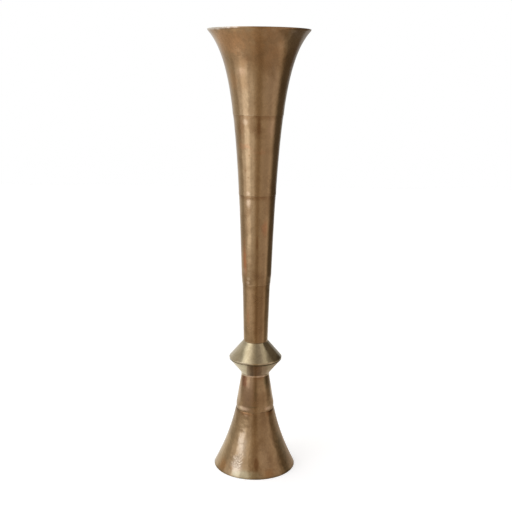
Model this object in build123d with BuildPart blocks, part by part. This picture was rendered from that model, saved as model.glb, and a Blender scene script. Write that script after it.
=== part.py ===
"""Tall trumpet vase in aged brass: spun sheet sections brazed in lap joints, on a knop and a flared foot.

The frame has +Z up, with the origin on the floor under the middle of the foot. Sizes are in millimetres.
"""

import os
from math import hypot

from build123d import *

# Sheet metal and fits
wall = 1.5
braze_gap = 0.1
pilot_clearance = 0.2
thread_clearance = 0.1

# Heights of the stacked pieces, from the floor to the mouth
foot_flare_height = 113.0
foot_collar_height = 66.0
knop_lower_height = 32.8
knop_upper_height = 31.2
lower_neck_height = 109.0
middle_neck_height = 163.0
upper_neck_height = 140.0
mouth_height = 145.0

# Trumpet outline: the flare law of a brass horn, counted down from the mouth
mouth_diameter = 182.6
flare_length = 49.5
flare_power = 0.529
mouth_edge_radius = 0.5

# Lap joints: each lower section nests inside the crimped end of the one above it
lap_length = 16.0
lap_end_room = 1.5
joggle_height = 2.5
seam_step = 0.4
upper_neck_inset = 0.2
middle_neck_inset = 0.4
lower_neck_inset = 2.0

# Knop: two spun cones, the upper one skirted over the lower one
knop_diameter = 97.0
knop_skirt = 2.4
knop_reveal = 1.4
knop_shoulder = 0.2
knop_edge_radius = 0.6
knop_ledge = 0.4
knop_waist_diameter = 51.6
knop_lip_height = 3.0
knop_lip_flare = 0.5
knop_lip_overhang = 0.8

# Foot
foot_diameter = 152.4
foot_tail_diameter = 69.4
foot_tail_length = 7.0
foot_band_height = 10.0
foot_spigot_height = 7.0
foot_neck_height = 3.0
foot_neck_radius = 0.5
foot_flare_sag = 4.2
foot_edge_radius = 0.8
foot_flange_width = 10.0

# Well floor and the screw joint that draws trumpet, knop and foot together
well_skirt_height = 12.0
well_bend_radius = 2.0
boss_diameter = 22.0
boss_crown = 3.0
boss_chamfer = 1.0
rod_diameter = 8.0
rod_engagement = 12.5
rod_tip_room = 0.5
rod_end_chamfer = 0.8
rod_tail = 5.0
bridge_depth = 19.0
bridge_thickness = 2.0
bridge_skirt_height = 8.0
bridge_bend_radius = 2.5
bridge_hole_clearance = 0.5
washer_diameter = 20.0
washer_thickness = 1.6
washer_hole_clearance = 0.4
lock_washer_diameter = 14.8
lock_washer_thickness = 2.0
lock_washer_split = 2.0
nut_across_flats = 13.0
nut_height = 6.5

# Levels and radii that follow from the sizes above
foot_seam_z = foot_flare_height
foot_top_z = foot_seam_z + foot_collar_height
ridge_z = foot_top_z + knop_lower_height
knop_top_z = ridge_z + knop_upper_height
lower_seam_z = knop_top_z + lower_neck_height
middle_seam_z = lower_seam_z + middle_neck_height
upper_seam_z = middle_seam_z + upper_neck_height
mouth_z = upper_seam_z + mouth_height

knop_radius = knop_diameter / 2
foot_radius = foot_diameter / 2
foot_tail_radius = foot_tail_diameter / 2
knop_waist_radius = knop_waist_diameter / 2
boss_radius = boss_diameter / 2
rod_radius = rod_diameter / 2


def horn_radius(z):
    """Radius of the trumpet's outline at a height."""
    return mouth_diameter / 2 * (1 + (mouth_z - z) / flare_length) ** -flare_power


def horn_bore(z):
    """Radius inside the sheet at a height, with the sheet's thickness measured square to the slope."""
    slope = flare_power * horn_radius(z) / (flare_length + mouth_z - z)
    return horn_radius(z) - wall * hypot(1, slope)


def horn_points(radius_at, inset, low, high, count=9):
    """Points up one side of the trumpet, set in by a section's own inset, closer together towards the top."""
    heights = [high - (high - low) * (1 - i / (count - 1)) ** 1.5 for i in range(count)]
    return [(radius_at(z) - inset, z) for z in heights]


def along(start, end, z):
    """Radius at a height on the straight line between two (radius, height) points."""
    return start[0] + (end[0] - start[0]) * (z - start[1]) / (end[1] - start[1])


def height_at(start, end, radius):
    """Height at which the straight line between two (radius, height) points reaches a radius."""
    return start[1] + (end[1] - start[1]) * (radius - start[0]) / (end[0] - start[0])


def sheet_run(start, end):
    """Breadth of the sheet measured level, where it runs straight between two (radius, height) points."""
    return wall * hypot(1, (end[0] - start[0]) / (end[1] - start[1]))


def crimped_band(seam_z, inset, inset_below):
    """Lower edge and top of the band where a trumpet section grips the one below it, outside and inside."""
    edge = (horn_radius(seam_z) - inset_below + seam_step, seam_z)
    top = (horn_radius(seam_z + lap_length) - inset, seam_z + lap_length)
    bore_edge = (edge[0] - wall, seam_z)
    bore_top = (horn_bore(seam_z + lap_length) - inset, seam_z + lap_length)
    return edge, top, bore_edge, bore_top


def spigot(bore_edge, bore_top, shoulder, joggle):
    """Line of a spigot: in along the ledge, up inside the band above, across its end and down the inside."""
    seam_z = bore_edge[1]
    end_z = bore_top[1] - lap_end_room
    foot_r = bore_edge[0] - braze_gap
    end_r = along(bore_edge, bore_top, end_z) - braze_gap
    return [
        shoulder,
        (foot_r, seam_z),
        (end_r, end_z),
        (end_r - wall, end_z),
        (foot_r - wall, seam_z),
        joggle,
    ]


def neck_section(label, low_z, seam_z, inset, band, band_above):
    """A sheet section of the neck: its own crimped band below, if it has one, and a spigot above."""
    with BuildPart() as section:
        with BuildSketch(Plane.XZ):
            with BuildLine():
                outside = Spline(*horn_points(horn_radius, inset, low_z, seam_z))
                inside = Spline(*horn_points(horn_bore, inset, low_z, seam_z - joggle_height))
                Polyline(*spigot(band_above[2], band_above[3], outside @ 1, inside @ 1))
                if band:
                    Polyline(outside @ 0, band[0], band[2], inside @ 0)
                else:
                    Line(outside @ 0, inside @ 0)
            make_face()
        revolve(axis=Axis.Z)
    section.part.label = label
    return section


# Trumpet: four sections from the mouth down to the knop
upper_band = crimped_band(upper_seam_z, 0, upper_neck_inset)
middle_band = crimped_band(middle_seam_z, upper_neck_inset, middle_neck_inset)
lower_band = crimped_band(lower_seam_z, middle_neck_inset, lower_neck_inset)

with BuildPart() as mouth_section:
    with BuildSketch(Plane.XZ):
        with BuildLine():
            mouth_outside = Spline(*horn_points(horn_radius, 0, upper_seam_z + lap_length, mouth_z, 13))
            mouth_inside = Spline(*horn_points(horn_bore, 0, upper_seam_z + lap_length, mouth_z, 13))
            Line(mouth_outside @ 1, mouth_inside @ 1)
            Polyline(mouth_outside @ 0, upper_band[0], upper_band[2], mouth_inside @ 0)
        make_face()
    revolve(axis=Axis.Z)
    fillet(mouth_section.edges().group_by(Axis.Z)[-1], min(mouth_edge_radius, wall / 3))
mouth_section.part.label = "mouth_section"

upper_neck_section = neck_section(
    "upper_neck_section",
    middle_seam_z + lap_length,
    upper_seam_z,
    upper_neck_inset,
    middle_band,
    upper_band,
)
middle_neck_section = neck_section(
    "middle_neck_section",
    lower_seam_z + lap_length,
    middle_seam_z,
    middle_neck_inset,
    lower_band,
    middle_band,
)
lower_neck_section = neck_section(
    "lower_neck_section", knop_top_z, lower_seam_z, lower_neck_inset, None, lower_band
)

# Well floor: a pressed cup inside the bottom of the neck, its skirt following the neck's own taper
well_foot = (horn_bore(knop_top_z) - lower_neck_inset - braze_gap, knop_top_z)
well_rim_z = knop_top_z + well_skirt_height
well_rim = (horn_bore(well_rim_z) - lower_neck_inset - braze_gap, well_rim_z)

with BuildPart() as well_floor:
    with BuildSketch(Plane.XZ) as well_profile:
        with BuildLine():
            Polyline(
                (0, knop_top_z),
                well_foot,
                well_rim,
                (well_rim[0] - wall, well_rim_z),
                (well_foot[0] - wall, knop_top_z + wall),
                (0, knop_top_z + wall),
                close=True,
            )
        make_face()
        fillet(well_profile.vertices().group_by(Axis.Y)[0].sort_by(Axis.X)[-1], well_bend_radius)
    revolve(axis=Axis.Z)
well_floor.part.label = "well_floor"

# Stud boss: brazed under the well floor, tapped from below and left blind so that the well is watertight
tapped_depth = rod_engagement + rod_tip_room
boss_height = tapped_depth + boss_crown
boss_base_z = knop_top_z - boss_height

with BuildPart() as stud_boss:
    with BuildSketch(Plane.XY.offset(boss_base_z)):
        Circle(boss_radius)
    extrude(amount=boss_height)
    chamfer(stud_boss.edges().group_by(Axis.Z)[0], boss_chamfer)
    with BuildSketch(Plane.XY.offset(boss_base_z)):
        Circle(rod_radius + thread_clearance)
    extrude(amount=tapped_depth, mode=Mode.SUBTRACT)
stud_boss.part.label = "stud_boss"

# Knop, upper cone: a flat top that the neck stands on, a cone, and a short skirt over the lower cone
neck_radius = horn_radius(knop_top_z) - lower_neck_inset
pilot_radius = boss_radius + pilot_clearance
knop_top = (neck_radius + knop_ledge, knop_top_z)
crown_z = knop_top_z - wall
skirt_top = (knop_radius, ridge_z + knop_skirt / 2)
skirt_foot_z = ridge_z - knop_skirt / 2
skirt_bore = knop_radius - wall
upper_run = sheet_run(skirt_top, knop_top)
skirt_root_z = height_at(skirt_top, knop_top, skirt_bore + upper_run)

with BuildPart() as knop_upper_cone:
    with BuildSketch(Plane.XZ):
        with BuildLine():
            Polyline(
                (pilot_radius, knop_top_z),
                knop_top,
                skirt_top,
                (knop_radius, skirt_foot_z),
                (skirt_bore, skirt_foot_z),
                (skirt_bore, skirt_root_z),
                (along(skirt_top, knop_top, crown_z) - upper_run, crown_z),
                (pilot_radius, crown_z),
                close=True,
            )
        make_face()
    revolve(axis=Axis.Z)
    ridge = knop_upper_cone.edges().filter_by(GeomType.CIRCLE).group_by(SortBy.RADIUS)[-1]
    fillet(ridge, knop_edge_radius)
knop_upper_cone.part.label = "knop_upper_cone"

# Knop, lower cone: a rim up inside the skirt, a shoulder just below it, a cone and a short lip
rim_radius = skirt_bore - braze_gap
rim_z = skirt_root_z - braze_gap
shoulder = (knop_radius - knop_shoulder, skirt_foot_z - knop_reveal)
waist = (knop_waist_radius, foot_top_z + knop_lip_height)
lip_foot = (knop_waist_radius + knop_lip_flare, foot_top_z)
lower_run = sheet_run(waist, shoulder)
waist_bore = knop_waist_radius - wall

with BuildPart() as knop_lower_cone:
    with BuildSketch(Plane.XZ):
        with BuildLine():
            Polyline(
                lip_foot,
                waist,
                shoulder,
                (rim_radius, shoulder[1]),
                (rim_radius, rim_z),
                (rim_radius - wall, rim_z),
                (rim_radius - wall, height_at(waist, shoulder, rim_radius - wall + lower_run)),
                (waist_bore, height_at(waist, shoulder, waist_bore + lower_run)),
                (lip_foot[0] - wall, foot_top_z),
                close=True,
            )
        make_face()
    revolve(axis=Axis.Z)
knop_lower_cone.part.label = "knop_lower_cone"

# Foot collar: a steep cone with a spigot up inside the knop and a straight tail down inside the foot flare
collar_top = (lip_foot[0] - knop_lip_overhang, foot_top_z)
band_top = (foot_tail_radius, foot_seam_z + foot_band_height)
tail_bore = foot_tail_radius - wall
tail_foot_z = foot_seam_z - foot_tail_length
collar_run = sheet_run(band_top, collar_top)
collar_spigot = waist_bore - braze_gap
collar_spigot_z = foot_top_z + foot_spigot_height
collar_joggle_z = foot_top_z - joggle_height

with BuildPart() as foot_collar_section:
    with BuildSketch(Plane.XZ):
        with BuildLine():
            Polyline(
                (foot_tail_radius, tail_foot_z),
                band_top,
                collar_top,
                (collar_spigot, foot_top_z),
                (collar_spigot, collar_spigot_z),
                (collar_spigot - wall, collar_spigot_z),
                (collar_spigot - wall, foot_top_z),
                (along(band_top, collar_top, collar_joggle_z) - collar_run, collar_joggle_z),
                (tail_bore, height_at(band_top, collar_top, tail_bore + collar_run)),
                (tail_bore, tail_foot_z),
                close=True,
            )
        make_face()
    revolve(axis=Axis.Z)
foot_collar_section.part.label = "foot_collar_section"

# Foot flare: a short neck round the collar's tail, a flared skirt, and a turned-in ring to stand on
neck_bore = foot_tail_radius + braze_gap
flare_top = (neck_bore + wall, foot_seam_z)
flare_root = (flare_top[0], foot_seam_z - foot_neck_height)
flare_foot = (foot_radius, 0)
flare_middle = ((flare_root[0] + foot_radius) / 2 - foot_flare_sag, flare_root[1] / 2)
top_run = sheet_run(flare_root, flare_middle)
foot_run = sheet_run(flare_middle, flare_foot)
bore_middle = (flare_middle[0] - (top_run + foot_run) / 2, flare_middle[1])
flange_top = (along(flare_middle, flare_foot, wall) - foot_run, wall)
flange_bore = foot_radius - foot_flange_width

with BuildPart() as foot_flare:
    with BuildSketch(Plane.XZ) as flare_profile:
        with BuildLine():
            outer_arc = ThreePointArc(flare_root, flare_middle, flare_foot)
            inner_arc = ThreePointArc((neck_bore, flare_root[1]), bore_middle, flange_top)
            Polyline(outer_arc @ 0, flare_top, (neck_bore, foot_seam_z), inner_arc @ 0)
            Polyline(outer_arc @ 1, (flange_bore, 0), (flange_bore, wall), inner_arc @ 1)
        make_face()
        fillet(flare_profile.vertices().sort_by(Axis.X)[-1], foot_edge_radius)
        neck_edge = flare_profile.vertices().group_by(Axis.Y)[-1].sort_by(Axis.X)[-1]
        fillet(neck_edge, min(foot_neck_radius, wall / 3))
    revolve(axis=Axis.Z)
foot_flare.part.label = "foot_flare"

# Foot bridge: a pressed disc whose skirt is brazed inside the taper of the foot collar
bridge_z = foot_top_z - bridge_depth
bridge_seat_z = bridge_z - bridge_thickness
bridge_skirt_z = bridge_z - bridge_skirt_height
bridge_bore = rod_radius + bridge_hole_clearance
bridge_run = collar_run * bridge_thickness / wall
bridge_rim_r = along(band_top, collar_top, bridge_z) - collar_run - braze_gap
bridge_skirt_r = along(band_top, collar_top, bridge_skirt_z) - collar_run - braze_gap
bridge_corner_r = along(band_top, collar_top, bridge_seat_z) - collar_run - braze_gap - bridge_run

with BuildPart() as foot_bridge:
    with BuildSketch(Plane.XZ) as bridge_profile:
        with BuildLine():
            Polyline(
                (bridge_bore, bridge_z),
                (bridge_rim_r, bridge_z),
                (bridge_skirt_r, bridge_skirt_z),
                (bridge_skirt_r - bridge_run, bridge_skirt_z),
                (bridge_corner_r, bridge_seat_z),
                (bridge_bore, bridge_seat_z),
                close=True,
            )
        make_face()
        fillet(bridge_profile.vertices().group_by(Axis.Y)[-1].sort_by(Axis.X)[-1], bridge_bend_radius)
    revolve(axis=Axis.Z)
foot_bridge.part.label = "foot_bridge"

# Flat washer, spring lock washer and nut, stacked up against the underside of the bridge
washer_z = bridge_seat_z - washer_thickness
lock_washer_z = washer_z - lock_washer_thickness
nut_z = lock_washer_z - nut_height
washer_bore = rod_radius + washer_hole_clearance

with BuildPart() as flat_washer:
    with BuildSketch(Plane.XY.offset(washer_z)):
        Circle(washer_diameter / 2)
        Circle(washer_bore, mode=Mode.SUBTRACT)
    extrude(amount=washer_thickness)
flat_washer.part.label = "flat_washer"

with BuildPart() as lock_washer:
    with BuildSketch(Plane.XY.offset(lock_washer_z)):
        Circle(lock_washer_diameter / 2)
        Circle(washer_bore, mode=Mode.SUBTRACT)
        with Locations((lock_washer_diameter / 4, 0)):
            Rectangle(lock_washer_diameter / 2, lock_washer_split, mode=Mode.SUBTRACT)
    extrude(amount=lock_washer_thickness)
lock_washer.part.label = "lock_washer"

with BuildPart() as tie_nut:
    with BuildSketch(Plane.XY.offset(nut_z)):
        RegularPolygon(nut_across_flats / 2, 6, major_radius=False)
        Circle(rod_radius + thread_clearance, mode=Mode.SUBTRACT)
    extrude(amount=nut_height)
tie_nut.part.label = "tie_nut"

# Tie rod: from below the nut up into the boss
rod_top_z = boss_base_z + rod_engagement
rod_foot_z = nut_z - rod_tail

with BuildPart() as tie_rod:
    with BuildSketch(Plane.XY.offset(rod_foot_z)):
        Circle(rod_radius)
    extrude(amount=rod_top_z - rod_foot_z)
    chamfer(tie_rod.edges().filter_by(GeomType.CIRCLE), rod_end_chamfer)
tie_rod.part.label = "tie_rod"

os.makedirs("parts", exist_ok=True)
export_step(mouth_section.part, "parts/mouth_section.step")
export_step(upper_neck_section.part, "parts/upper_neck_section.step")
export_step(middle_neck_section.part, "parts/middle_neck_section.step")
export_step(lower_neck_section.part, "parts/lower_neck_section.step")
export_step(well_floor.part, "parts/well_floor.step")
export_step(stud_boss.part, "parts/stud_boss.step")
export_step(knop_upper_cone.part, "parts/knop_upper_cone.step")
export_step(knop_lower_cone.part, "parts/knop_lower_cone.step")
export_step(foot_collar_section.part, "parts/foot_collar_section.step")
export_step(foot_flare.part, "parts/foot_flare.step")
export_step(foot_bridge.part, "parts/foot_bridge.step")
export_step(flat_washer.part, "parts/flat_washer.step")
export_step(lock_washer.part, "parts/lock_washer.step")
export_step(tie_nut.part, "parts/tie_nut.step")
export_step(tie_rod.part, "parts/tie_rod.step")
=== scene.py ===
# %% [markdown]
# # A tall trumpet vase in aged brass
# The real vase is sheet brass. Four rolled sections make the trumpet, two spun cones make the knop, two more
# sections make the foot, and a threaded rod inside the foot pulls them all together.
# The solids of the frame have the right sizes, but machine-sharp edges and no finish. Each piece is modelled
# again here at the size that the frame gives, with softened edges, and then gets its own patina.

# %% Load the frame
import math

import bpy
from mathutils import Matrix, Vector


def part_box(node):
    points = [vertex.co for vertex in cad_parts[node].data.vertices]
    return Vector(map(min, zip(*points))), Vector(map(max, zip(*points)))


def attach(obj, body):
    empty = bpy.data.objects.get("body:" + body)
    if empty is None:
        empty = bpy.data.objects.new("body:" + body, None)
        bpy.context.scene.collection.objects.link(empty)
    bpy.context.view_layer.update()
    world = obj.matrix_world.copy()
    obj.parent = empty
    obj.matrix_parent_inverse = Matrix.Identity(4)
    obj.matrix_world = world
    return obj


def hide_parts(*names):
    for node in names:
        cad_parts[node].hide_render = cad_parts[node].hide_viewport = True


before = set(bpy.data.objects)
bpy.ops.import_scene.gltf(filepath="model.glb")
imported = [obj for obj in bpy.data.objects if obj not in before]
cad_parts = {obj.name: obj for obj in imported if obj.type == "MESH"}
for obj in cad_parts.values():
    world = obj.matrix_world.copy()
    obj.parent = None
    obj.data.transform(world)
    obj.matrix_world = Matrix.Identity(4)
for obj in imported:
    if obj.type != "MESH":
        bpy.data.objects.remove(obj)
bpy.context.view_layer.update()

# %% [markdown]
# ## Camera
# The photograph was taken from about one and a half metres away, with the camera near the height of the
# mouth and looking slightly down. It was held a fraction of a degree out of level, so the vase leans to the
# right.
# A camera's place could be found by trial, but the seams, the knop and the foot give enough heights and
# widths to work it out, and the values below are the result.

# %% Place the camera
CAMERA_PLACE = (-0.0012, -1.504, 0.7252)
CAMERA_PITCH = 12.127
CAMERA_ROLL = 0.66
CAMERA_LENS = 59.65

bpy.ops.object.camera_add(location=CAMERA_PLACE)
camera = bpy.context.object
camera.rotation_mode = "ZXY"
camera.rotation_euler = (math.radians(90 - CAMERA_PITCH), 0, math.radians(CAMERA_ROLL))
camera.data.lens = CAMERA_LENS
bpy.context.scene.camera = camera
bpy.context.scene.view_settings.view_transform = "Standard"
print("camera", CAMERA_LENS, "mm,", CAMERA_PITCH, "degrees down")

# %% [markdown]
# ## Nodes, written short
# Materials and the world are node trees. Four small helpers keep each tree readable: one adds a node and
# fills its sockets, one does arithmetic, one blends two colours, and one makes a smooth step.

# %% Node helpers
def add_node(tree, kind, inputs=None, **options):
    """Add a shader node, set its options, and fill or link its inputs."""
    node = tree.nodes.new("ShaderNode" + kind)
    for option, value in options.items():
        setattr(node, option, value)
    for key, value in (inputs or {}).items():
        if isinstance(value, bpy.types.NodeSocket):
            tree.links.new(value, node.inputs[key])
        else:
            node.inputs[key].default_value = value
    return node


def calc(tree, operation, *values):
    """The result of one Math node."""
    return add_node(tree, "Math", dict(enumerate(values)), operation=operation).outputs[0]


def blend_colours(tree, factor, first, second):
    """The colour that lies between two colours."""
    return add_node(tree, "Mix", {0: factor, 6: first, 7: second}, data_type="RGBA").outputs[2]


def fade(tree, value, start, end, low=0.0, high=1.0):
    """A smooth step: low at start, high at end, and level outside them."""
    inputs = {"Value": value, 1: start, 2: end, 3: low, 4: high}
    return add_node(tree, "MapRange", inputs, interpolation_type="SMOOTHSTEP").outputs[0]


# %% [markdown]
# ## The studio
# Polished metal has hardly any colour of its own to show: what it shows is the room. The vase stands before
# a white backdrop, which its two edges catch. A soft box stands on the left, a dim warm room lies behind the
# camera, a dark screen stands on the right, a wide lit panel hangs overhead, which only the knop can see,
# and paper lies on the floor, lit on one side, in the screen's shade on the other, and lit again further
# back.
# All of it could be built as panels, but panels get in the way of other views. So the far room is painted
# on the world, by direction, and only what is close is built: from the foot one looks under the soft box and
# the screen, and from the neck one doesn't. The camera sees none of them, and plain white behind the vase.

# %% Colours laid along a value
def colours_along(tree, value, stops):
    """Colours that change along a value: each stop is a value and its colour, in rising order."""
    low, high = stops[0][0], stops[-1][0]
    share = add_node(tree, "MapRange", {"Value": value, 1: low, 2: high}).outputs[0]
    ramp = add_node(tree, "ValToRGB", {0: share})
    for stop, _ in stops[1:-1]:
        ramp.color_ramp.elements.new((stop - low) / (high - low))
    for element, (_, colour) in zip(ramp.color_ramp.elements, stops):
        element.color = (*colour, 1)
    return ramp.outputs["Color"]


# %% Colours of the room
ROOM_BY_TURN = [
    (-180, (0.86, 0.85, 0.83)),
    (-142, (0.86, 0.84, 0.80)),
    (-120, (0.70, 0.66, 0.60)),
    (-104, (0.60, 0.55, 0.48)),
    (-84, (0.76, 0.69, 0.63)),
    (-36, (0.76, 0.68, 0.61)),
    (-18, (0.76, 0.66, 0.56)),
    (-5, (0.52, 0.40, 0.29)),
    (6, (0.44, 0.33, 0.22)),
    (20, (0.66, 0.55, 0.46)),
    (58, (0.64, 0.53, 0.46)),
    (72, (0.82, 0.70, 0.62)),
    (80, (0.68, 0.58, 0.51)),
    (90, (0.33, 0.27, 0.20)),
    (108, (0.30, 0.25, 0.19)),
    (128, (0.36, 0.35, 0.34)),
    (150, (0.40, 0.40, 0.40)),
    (180, (0.50, 0.49, 0.47)),
]
CEILING_BY_X = [
    (-1.00, (0.40, 0.38, 0.32)),
    (-0.76, (0.40, 0.38, 0.32)),
    (-0.66, (1.35, 1.32, 1.22)),
    (-0.54, (1.90, 1.86, 1.75)),
    (-0.42, (1.55, 1.48, 1.37)),
    (-0.18, (0.70, 0.62, 0.52)),
    (0.05, (0.38, 0.33, 0.27)),
    (0.32, (0.44, 0.38, 0.33)),
    (0.58, (0.86, 0.79, 0.68)),
    (0.74, (0.20, 0.17, 0.13)),
    (1.00, (0.15, 0.13, 0.10)),
]
print("room has", len(ROOM_BY_TURN), "stops round it and", len(CEILING_BY_X), "overhead")

# %% Paint the room on the world
CEILING_FROM = 0.50
CEILING_TO = 0.72
BACKDROP_FROM = 166
BACKDROP_TO = 176
WHITE = (1, 1, 1, 1)

world = bpy.data.worlds.new("studio")
bpy.context.scene.world = world
world.use_nodes = True
studio = world.node_tree
studio.nodes.clear()
direction = add_node(studio, "TexCoord").outputs["Generated"]
axes = add_node(studio, "SeparateXYZ", {0: direction}).outputs
towards_camera = calc(studio, "MULTIPLY", axes["Y"], -1.0)
turn = calc(studio, "DEGREES", calc(studio, "ARCTAN2", axes["X"], towards_camera))
walls = colours_along(studio, turn, ROOM_BY_TURN)
ceiling = colours_along(studio, axes["X"], CEILING_BY_X)
overhead = fade(studio, axes["Z"], CEILING_FROM, CEILING_TO)
surroundings = blend_colours(studio, overhead, walls, ceiling)

room_light = add_node(studio, "Background", {"Color": surroundings}).outputs[0]
plain_white = add_node(studio, "Background", {"Color": WHITE}).outputs[0]
light_path = add_node(studio, "LightPath").outputs
behind = fade(studio, calc(studio, "ABSOLUTE", turn), BACKDROP_FROM, BACKDROP_TO)
mirrored = calc(studio, "MULTIPLY", light_path["Is Glossy Ray"], behind)
backdrop = calc(studio, "MAXIMUM", light_path["Is Camera Ray"], mirrored)
mixed = add_node(studio, "MixShader", {0: backdrop, 1: room_light, 2: plain_white}).outputs[0]
add_node(studio, "OutputWorld", {"Surface": mixed})
print("world painted with", len(studio.nodes), "nodes")

# %% The soft box and its pale surround
SOFT_BOX_COLOUR = (0.94, 1.0, 1.14)
SOFT_BOX_TURN = -56
SOFT_BOX_LOW = 0.17
SOFT_BOX_HEIGHT = 0.90
SOFT_BOXES = [
    ("soft_box", 0.95, 0.46, 0.75),
    ("soft_box_surround", 1.0, 1.5, 0.36),
]


def standing_at(turn, distance, low, height):
    """Place and rotation of a panel that stands upright and faces the vase's axis."""
    turn = math.radians(turn)
    place = (distance * math.sin(turn), -distance * math.cos(turn), low + height / 2)
    return {"location": place, "rotation": (math.pi / 2, 0, turn)}


for name, distance, width, brightness in SOFT_BOXES:
    stand = standing_at(SOFT_BOX_TURN, distance, SOFT_BOX_LOW, SOFT_BOX_HEIGHT)
    bpy.ops.object.light_add(type="AREA", **stand)
    lamp = bpy.context.object
    lamp.name = name
    lamp.data.shape = "RECTANGLE"
    lamp.data.size = width
    lamp.data.size_y = SOFT_BOX_HEIGHT
    lamp.data.color = SOFT_BOX_COLOUR
    lamp.data.energy = brightness * math.pi * width * SOFT_BOX_HEIGHT
    lamp.visible_camera = False
    print(name, "gives", round(lamp.data.energy, 2), "watts")

# %% The dark screen and the paper on the floor
SCREEN_TURN = 116
SCREEN_DISTANCE = 0.80
SCREEN_LOW = 0.10
SCREEN_SIZE = (0.71, 1.20, 1)
SCREEN_FELT = (0.155, 0.125, 0.09)
PAPERS = [
    ("lit_paper", (-0.325, 0.300, 0.0010), (0.65, 0.70, 1), (1.06, 1.03, 0.94)),
    ("shaded_paper", (0.325, 0.145, 0.0010), (0.65, 0.39, 1), (0.57, 0.49, 0.41)),
    ("back_paper", (0, 0.820, 0.0005), (1.10, 0.96, 1), (1.00, 0.98, 0.94)),
]


def put_up_panel(name, size, colour, **standing):
    """Add a panel that only reflections can see."""
    bpy.ops.object.select_all(action="DESELECT")
    bpy.ops.mesh.primitive_plane_add(size=1, **standing)
    panel = bpy.context.object
    panel.name = name
    panel.scale = size
    bpy.ops.object.transform_apply(location=True, rotation=True, scale=True)
    cover = bpy.data.materials.new(name + "_cover")
    cover.use_nodes = True
    cover.node_tree.nodes.clear()
    even = add_node(cover.node_tree, "Emission", {"Color": (*colour, 1)}).outputs[0]
    add_node(cover.node_tree, "OutputMaterial", {"Surface": even})
    panel.data.materials.append(cover)
    panel.visible_camera = False
    panel.visible_shadow = False
    panel.visible_diffuse = False
    print(name, "measures", size[0], "by", size[1], "m")


screen_stand = standing_at(SCREEN_TURN, SCREEN_DISTANCE, SCREEN_LOW, SCREEN_SIZE[1])
put_up_panel("dark_screen", SCREEN_SIZE, SCREEN_FELT, **screen_stand)
for name, place, size, shade in PAPERS:
    put_up_panel(name, size, shade, location=place)

# %% [markdown]
# ## The floor
# A pale floor that runs out to white. If it were only lit, it would show a grey horizon against the
# backdrop, so it glows a little for the camera, and the light that falls on it brings it the rest of the way
# to white. That light is warm, so the glow is cool. The foot still takes some of the light away, which
# leaves a faint shadow beside it.

# %% Lay the floor
FLOOR_SIZE = 8.0
FLOOR_GLOW = 0.52
FLOOR_GLOW_COLOUR = (0.92, 0.98, 1.06, 1)
FLOOR_PAPER = (0.8, 0.8, 0.8, 1)

bpy.ops.object.select_all(action="DESELECT")
bpy.ops.mesh.primitive_plane_add(size=FLOOR_SIZE, location=(0, 0, 0))
floor = bpy.context.object
floor.name = "studio_floor"
paper = bpy.data.materials.new("studio_paper")
paper.use_nodes = True
tree = paper.node_tree
tree.nodes.clear()
lit = add_node(tree, "BsdfDiffuse", {"Color": FLOOR_PAPER}).outputs[0]
glow = calc(tree, "MULTIPLY", add_node(tree, "LightPath").outputs["Is Camera Ray"], FLOOR_GLOW)
glowing = add_node(tree, "Emission", {"Color": FLOOR_GLOW_COLOUR, "Strength": glow}).outputs[0]
both = add_node(tree, "AddShader", {0: lit, 1: glowing}).outputs[0]
add_node(tree, "OutputMaterial", {"Surface": both})
floor.data.materials.append(paper)
floor.visible_glossy = False
print("floor laid at height 0")

# %% [markdown]
# ## Aged brass
# The sheet was polished, then darkened and rubbed back, and it has been handled since. So the finish has
# several layers: clean brass, browner clouds of tarnish, a few coppery stains, small pits, the fine lines
# left by turning, and dirt that gathers at the seams. The inside was never polished and is duller.
# One picture wrapped round each piece could show all that, but it would stretch on the flare. Noise read at
# the place in space needs no unwrapping, and its scale counts waves to the metre, the same on every piece.
# The finish is put together in steps: noise and patches first, then where each kind of mark lies, then the
# colour, the polish and the relief that follow from the marks. Some patches are painted light and shade, not
# stains: highlights, reflections and shade laid into the colour, each marked where it is laid.

# %% Noise and patches
PATCH_EDGE_SCALE = 110
PATCH_EDGE = 0.65


def noise(tree, place, scale, detail=2.0, roughness=0.5, distortion=0.0):
    """Cloudy noise, one number from 0 to 1 at each place."""
    inputs = {"Vector": place, "Scale": scale, "Detail": detail}
    inputs.update({"Roughness": roughness, "Distortion": distortion})
    return add_node(tree, "TexNoise", inputs).outputs[0]


def cell_distance(tree, place, scale):
    """Distance to the middle of the nearest cell of a Voronoi pattern."""
    return add_node(tree, "TexVoronoi", {"Vector": place, "Scale": scale}).outputs["Distance"]


def stretched(tree, place, scale):
    """A place, stretched along its axes, so that noise there becomes streaks or lines."""
    return add_node(tree, "Mapping", {"Vector": place, "Scale": scale}).outputs[0]


def patch(tree, place, centre, size, ragged=0.9, soft=0.9):
    """1 in the middle of a patch of a given size, 0 outside it, with a ragged edge and a soft one."""
    shrink = [1 / reach for reach in size]
    shift = [-middle / reach for middle, reach in zip(centre, size)]
    inside = add_node(tree, "Mapping", {"Vector": place, "Location": shift, "Scale": shrink}).outputs[0]
    distance = add_node(tree, "VectorMath", {0: inside}, operation="LENGTH").outputs["Value"]
    distance = calc(tree, "MULTIPLY_ADD", noise(tree, place, PATCH_EDGE_SCALE, detail=3), ragged, distance)
    edge = PATCH_EDGE + ragged / 2
    return fade(tree, distance, edge - soft / 2, edge + soft / 2, 1, 0)


# %% Inside and ends of a piece
def facing_in(tree, place):
    """1 on walls that face the vase's own axis, 0 on those that face away from it."""
    outward = add_node(tree, "VectorMath", {0: place, 1: (1, 1, 0)}, operation="MULTIPLY").outputs[0]
    normal = add_node(tree, "NewGeometry").outputs["Normal"]
    facing = add_node(tree, "VectorMath", {0: outward, 1: normal}, operation="DOT_PRODUCT").outputs["Value"]
    return calc(tree, "LESS_THAN", facing, 0.0)


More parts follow.
